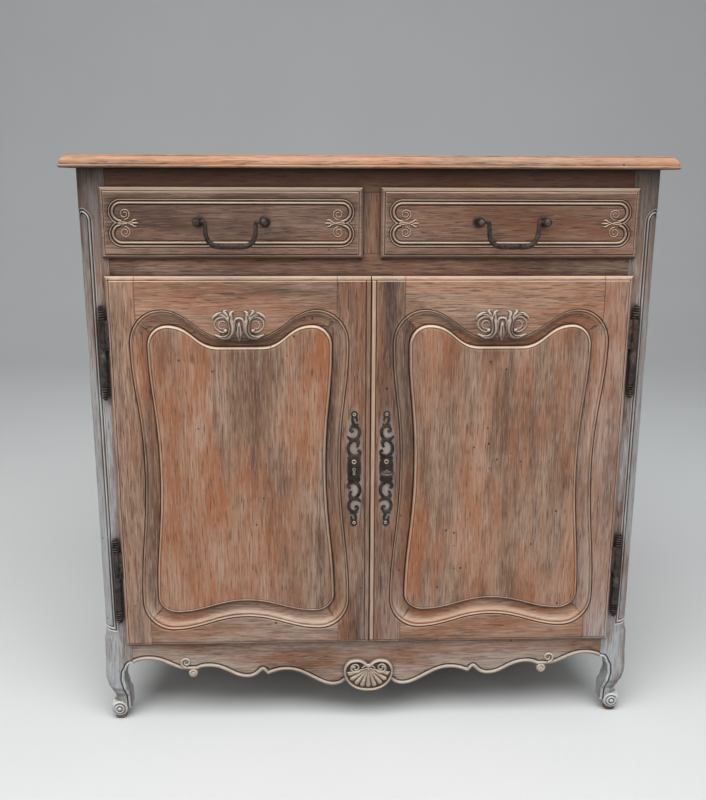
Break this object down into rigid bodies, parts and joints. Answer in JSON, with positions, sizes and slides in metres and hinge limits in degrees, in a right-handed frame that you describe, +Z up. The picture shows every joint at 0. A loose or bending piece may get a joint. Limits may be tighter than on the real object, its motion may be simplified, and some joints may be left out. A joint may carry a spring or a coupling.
{
  "type": "dresser with drawers",
  "caption": "Oak sideboard with lipped drawers on slides over framed and panelled doors on barrel hinges, carved front legs and a shaped apron.",
  "frame": {"origin": "centre of the whole outline seen from above, on the floor", "axes": "+X to the right seen from the front, +Y towards the back, +Z up; the doors and drawers face -Y"},
  "size_m": [0.995, 0.5134, 1.016],
  "materials": {
    "aged_oak": "sanded aged oak, reddish brown with a thin grey-pink wash, dark in the grooves",
    "warm_oak": "sanded aged oak, warm orange brown, worn pale on the edges",
    "limed_oak": "oak with a bluish-grey lime wash worn through to brown",
    "inner_oak": "plain unfinished oak, matt",
    "dark_iron": "blackened brown iron, worn brighter on the edges"
  },
  "bodies": {
    "carcass": {"top_board": "warm_oak", "frieze_rail": "aged_oak", "mid_rail": "aged_oak", "drawer_divider": "aged_oak", "apron_rail": "aged_oak", "back_panel": "inner_oak", "dust_board": "inner_oak", "cupboard_shelf": "inner_oak", "cupboard_floor": "inner_oak", "front_post_left": "limed_oak", "rear_post_left": "aged_oak", "side_top_rail_left": "aged_oak", "side_bottom_rail_left": "aged_oak", "side_panel_left": "aged_oak", "hinge_pin_half_upper_left": "dark_iron", "hinge_pin_half_lower_left": "dark_iron", "front_post_right": "limed_oak", "rear_post_right": "aged_oak", "side_top_rail_right": "aged_oak", "side_bottom_rail_right": "aged_oak", "side_panel_right": "aged_oak", "hinge_pin_half_upper_right": "dark_iron", "hinge_pin_half_lower_right": "dark_iron"},
    "drawer_left": {"drawer_front_left": "aged_oak", "drawer_inner_side_left": "inner_oak", "drawer_outer_side_left": "inner_oak", "drawer_back_left": "inner_oak", "drawer_bottom_left": "inner_oak", "handle_post_inner_left": "dark_iron", "handle_post_outer_left": "dark_iron"},
    "bail_left": {"bail_handle_left": "dark_iron"},
    "drawer_right": {"drawer_front_right": "aged_oak", "drawer_inner_side_right": "inner_oak", "drawer_outer_side_right": "inner_oak", "drawer_back_right": "inner_oak", "drawer_bottom_right": "inner_oak", "handle_post_inner_right": "dark_iron", "handle_post_outer_right": "dark_iron"},
    "bail_right": {"bail_handle_right": "dark_iron"},
    "door_left": {"door_hinge_stile_left": "aged_oak", "door_meeting_stile_left": "aged_oak", "door_top_rail_left": "aged_oak", "door_bottom_rail_left": "aged_oak", "door_panel_left": "warm_oak", "escutcheon_left": "dark_iron", "hinge_door_half_upper_left": "dark_iron", "hinge_door_half_lower_left": "dark_iron"},
    "door_right": {"door_hinge_stile_right": "aged_oak", "door_meeting_stile_right": "aged_oak", "door_top_rail_right": "aged_oak", "door_bottom_rail_right": "aged_oak", "door_panel_right": "warm_oak", "escutcheon_right": "dark_iron", "hinge_door_half_upper_right": "dark_iron", "hinge_door_half_lower_right": "dark_iron", "lock_case": "dark_iron"},
    "door_key": {"key": "dark_iron"},
    "lock_bolt": {"lock_bolt": "dark_iron"},
    "bolt_upper": {"door_bolt_upper": "dark_iron"},
    "bolt_lower": {"door_bolt_lower": "dark_iron"}
  },
  "joints": [
    {"name": "drawer_left_slide", "type": "slide", "parent": "carcass", "child": "drawer_left", "axis": [0, -1, 0], "range_m": [0, 0.3]},
    {"name": "bail_left_swing", "type": "hinge", "parent": "drawer_left", "child": "bail_left", "pos_m": [-0.227, -0.24975, 0.912], "axis": [-1, 0, 0], "range_deg": [-34, 140]},
    {"name": "door_left_hinge", "type": "hinge", "parent": "carcass", "child": "door_left", "pos_m": [-0.447, -0.21825, 0.49], "axis": [0, 0, -1], "range_deg": [0, 165]},
    {"name": "drawer_right_slide", "type": "slide", "parent": "carcass", "child": "drawer_right", "axis": [0, -1, 0], "range_m": [0, 0.3]},
    {"name": "bail_right_swing", "type": "hinge", "parent": "drawer_right", "child": "bail_right", "pos_m": [0.227, -0.24975, 0.912], "axis": [-1, 0, 0], "range_deg": [-34, 140]},
    {"name": "door_right_hinge", "type": "hinge", "parent": "carcass", "child": "door_right", "pos_m": [0.447, -0.21825, 0.49], "axis": [0, 0, 1], "range_deg": [0, 165]},
    {"name": "key_turn", "type": "hinge", "parent": "door_right", "child": "door_key", "pos_m": [0.028, -0.21125, 0.49], "axis": [0, -1, 0], "range_deg": [0, 180]},
    {"name": "lock_bolt_slide", "type": "slide", "parent": "door_right", "child": "lock_bolt", "axis": [-1, 0, 0], "range_m": [0, 0.01]},
    {"name": "bolt_upper_slide", "type": "slide", "parent": "door_left", "child": "bolt_upper", "axis": [0, 0, 1], "range_m": [0, 0.012]},
    {"name": "bolt_lower_slide", "type": "slide", "parent": "door_left", "child": "bolt_lower", "axis": [0, 0, -1], "range_m": [0, 0.012]}
  ],
  "couplings": [
    {"joint": "key_turn", "follows": "lock_bolt_slide", "rad_per_m": 314.1}
  ]
}
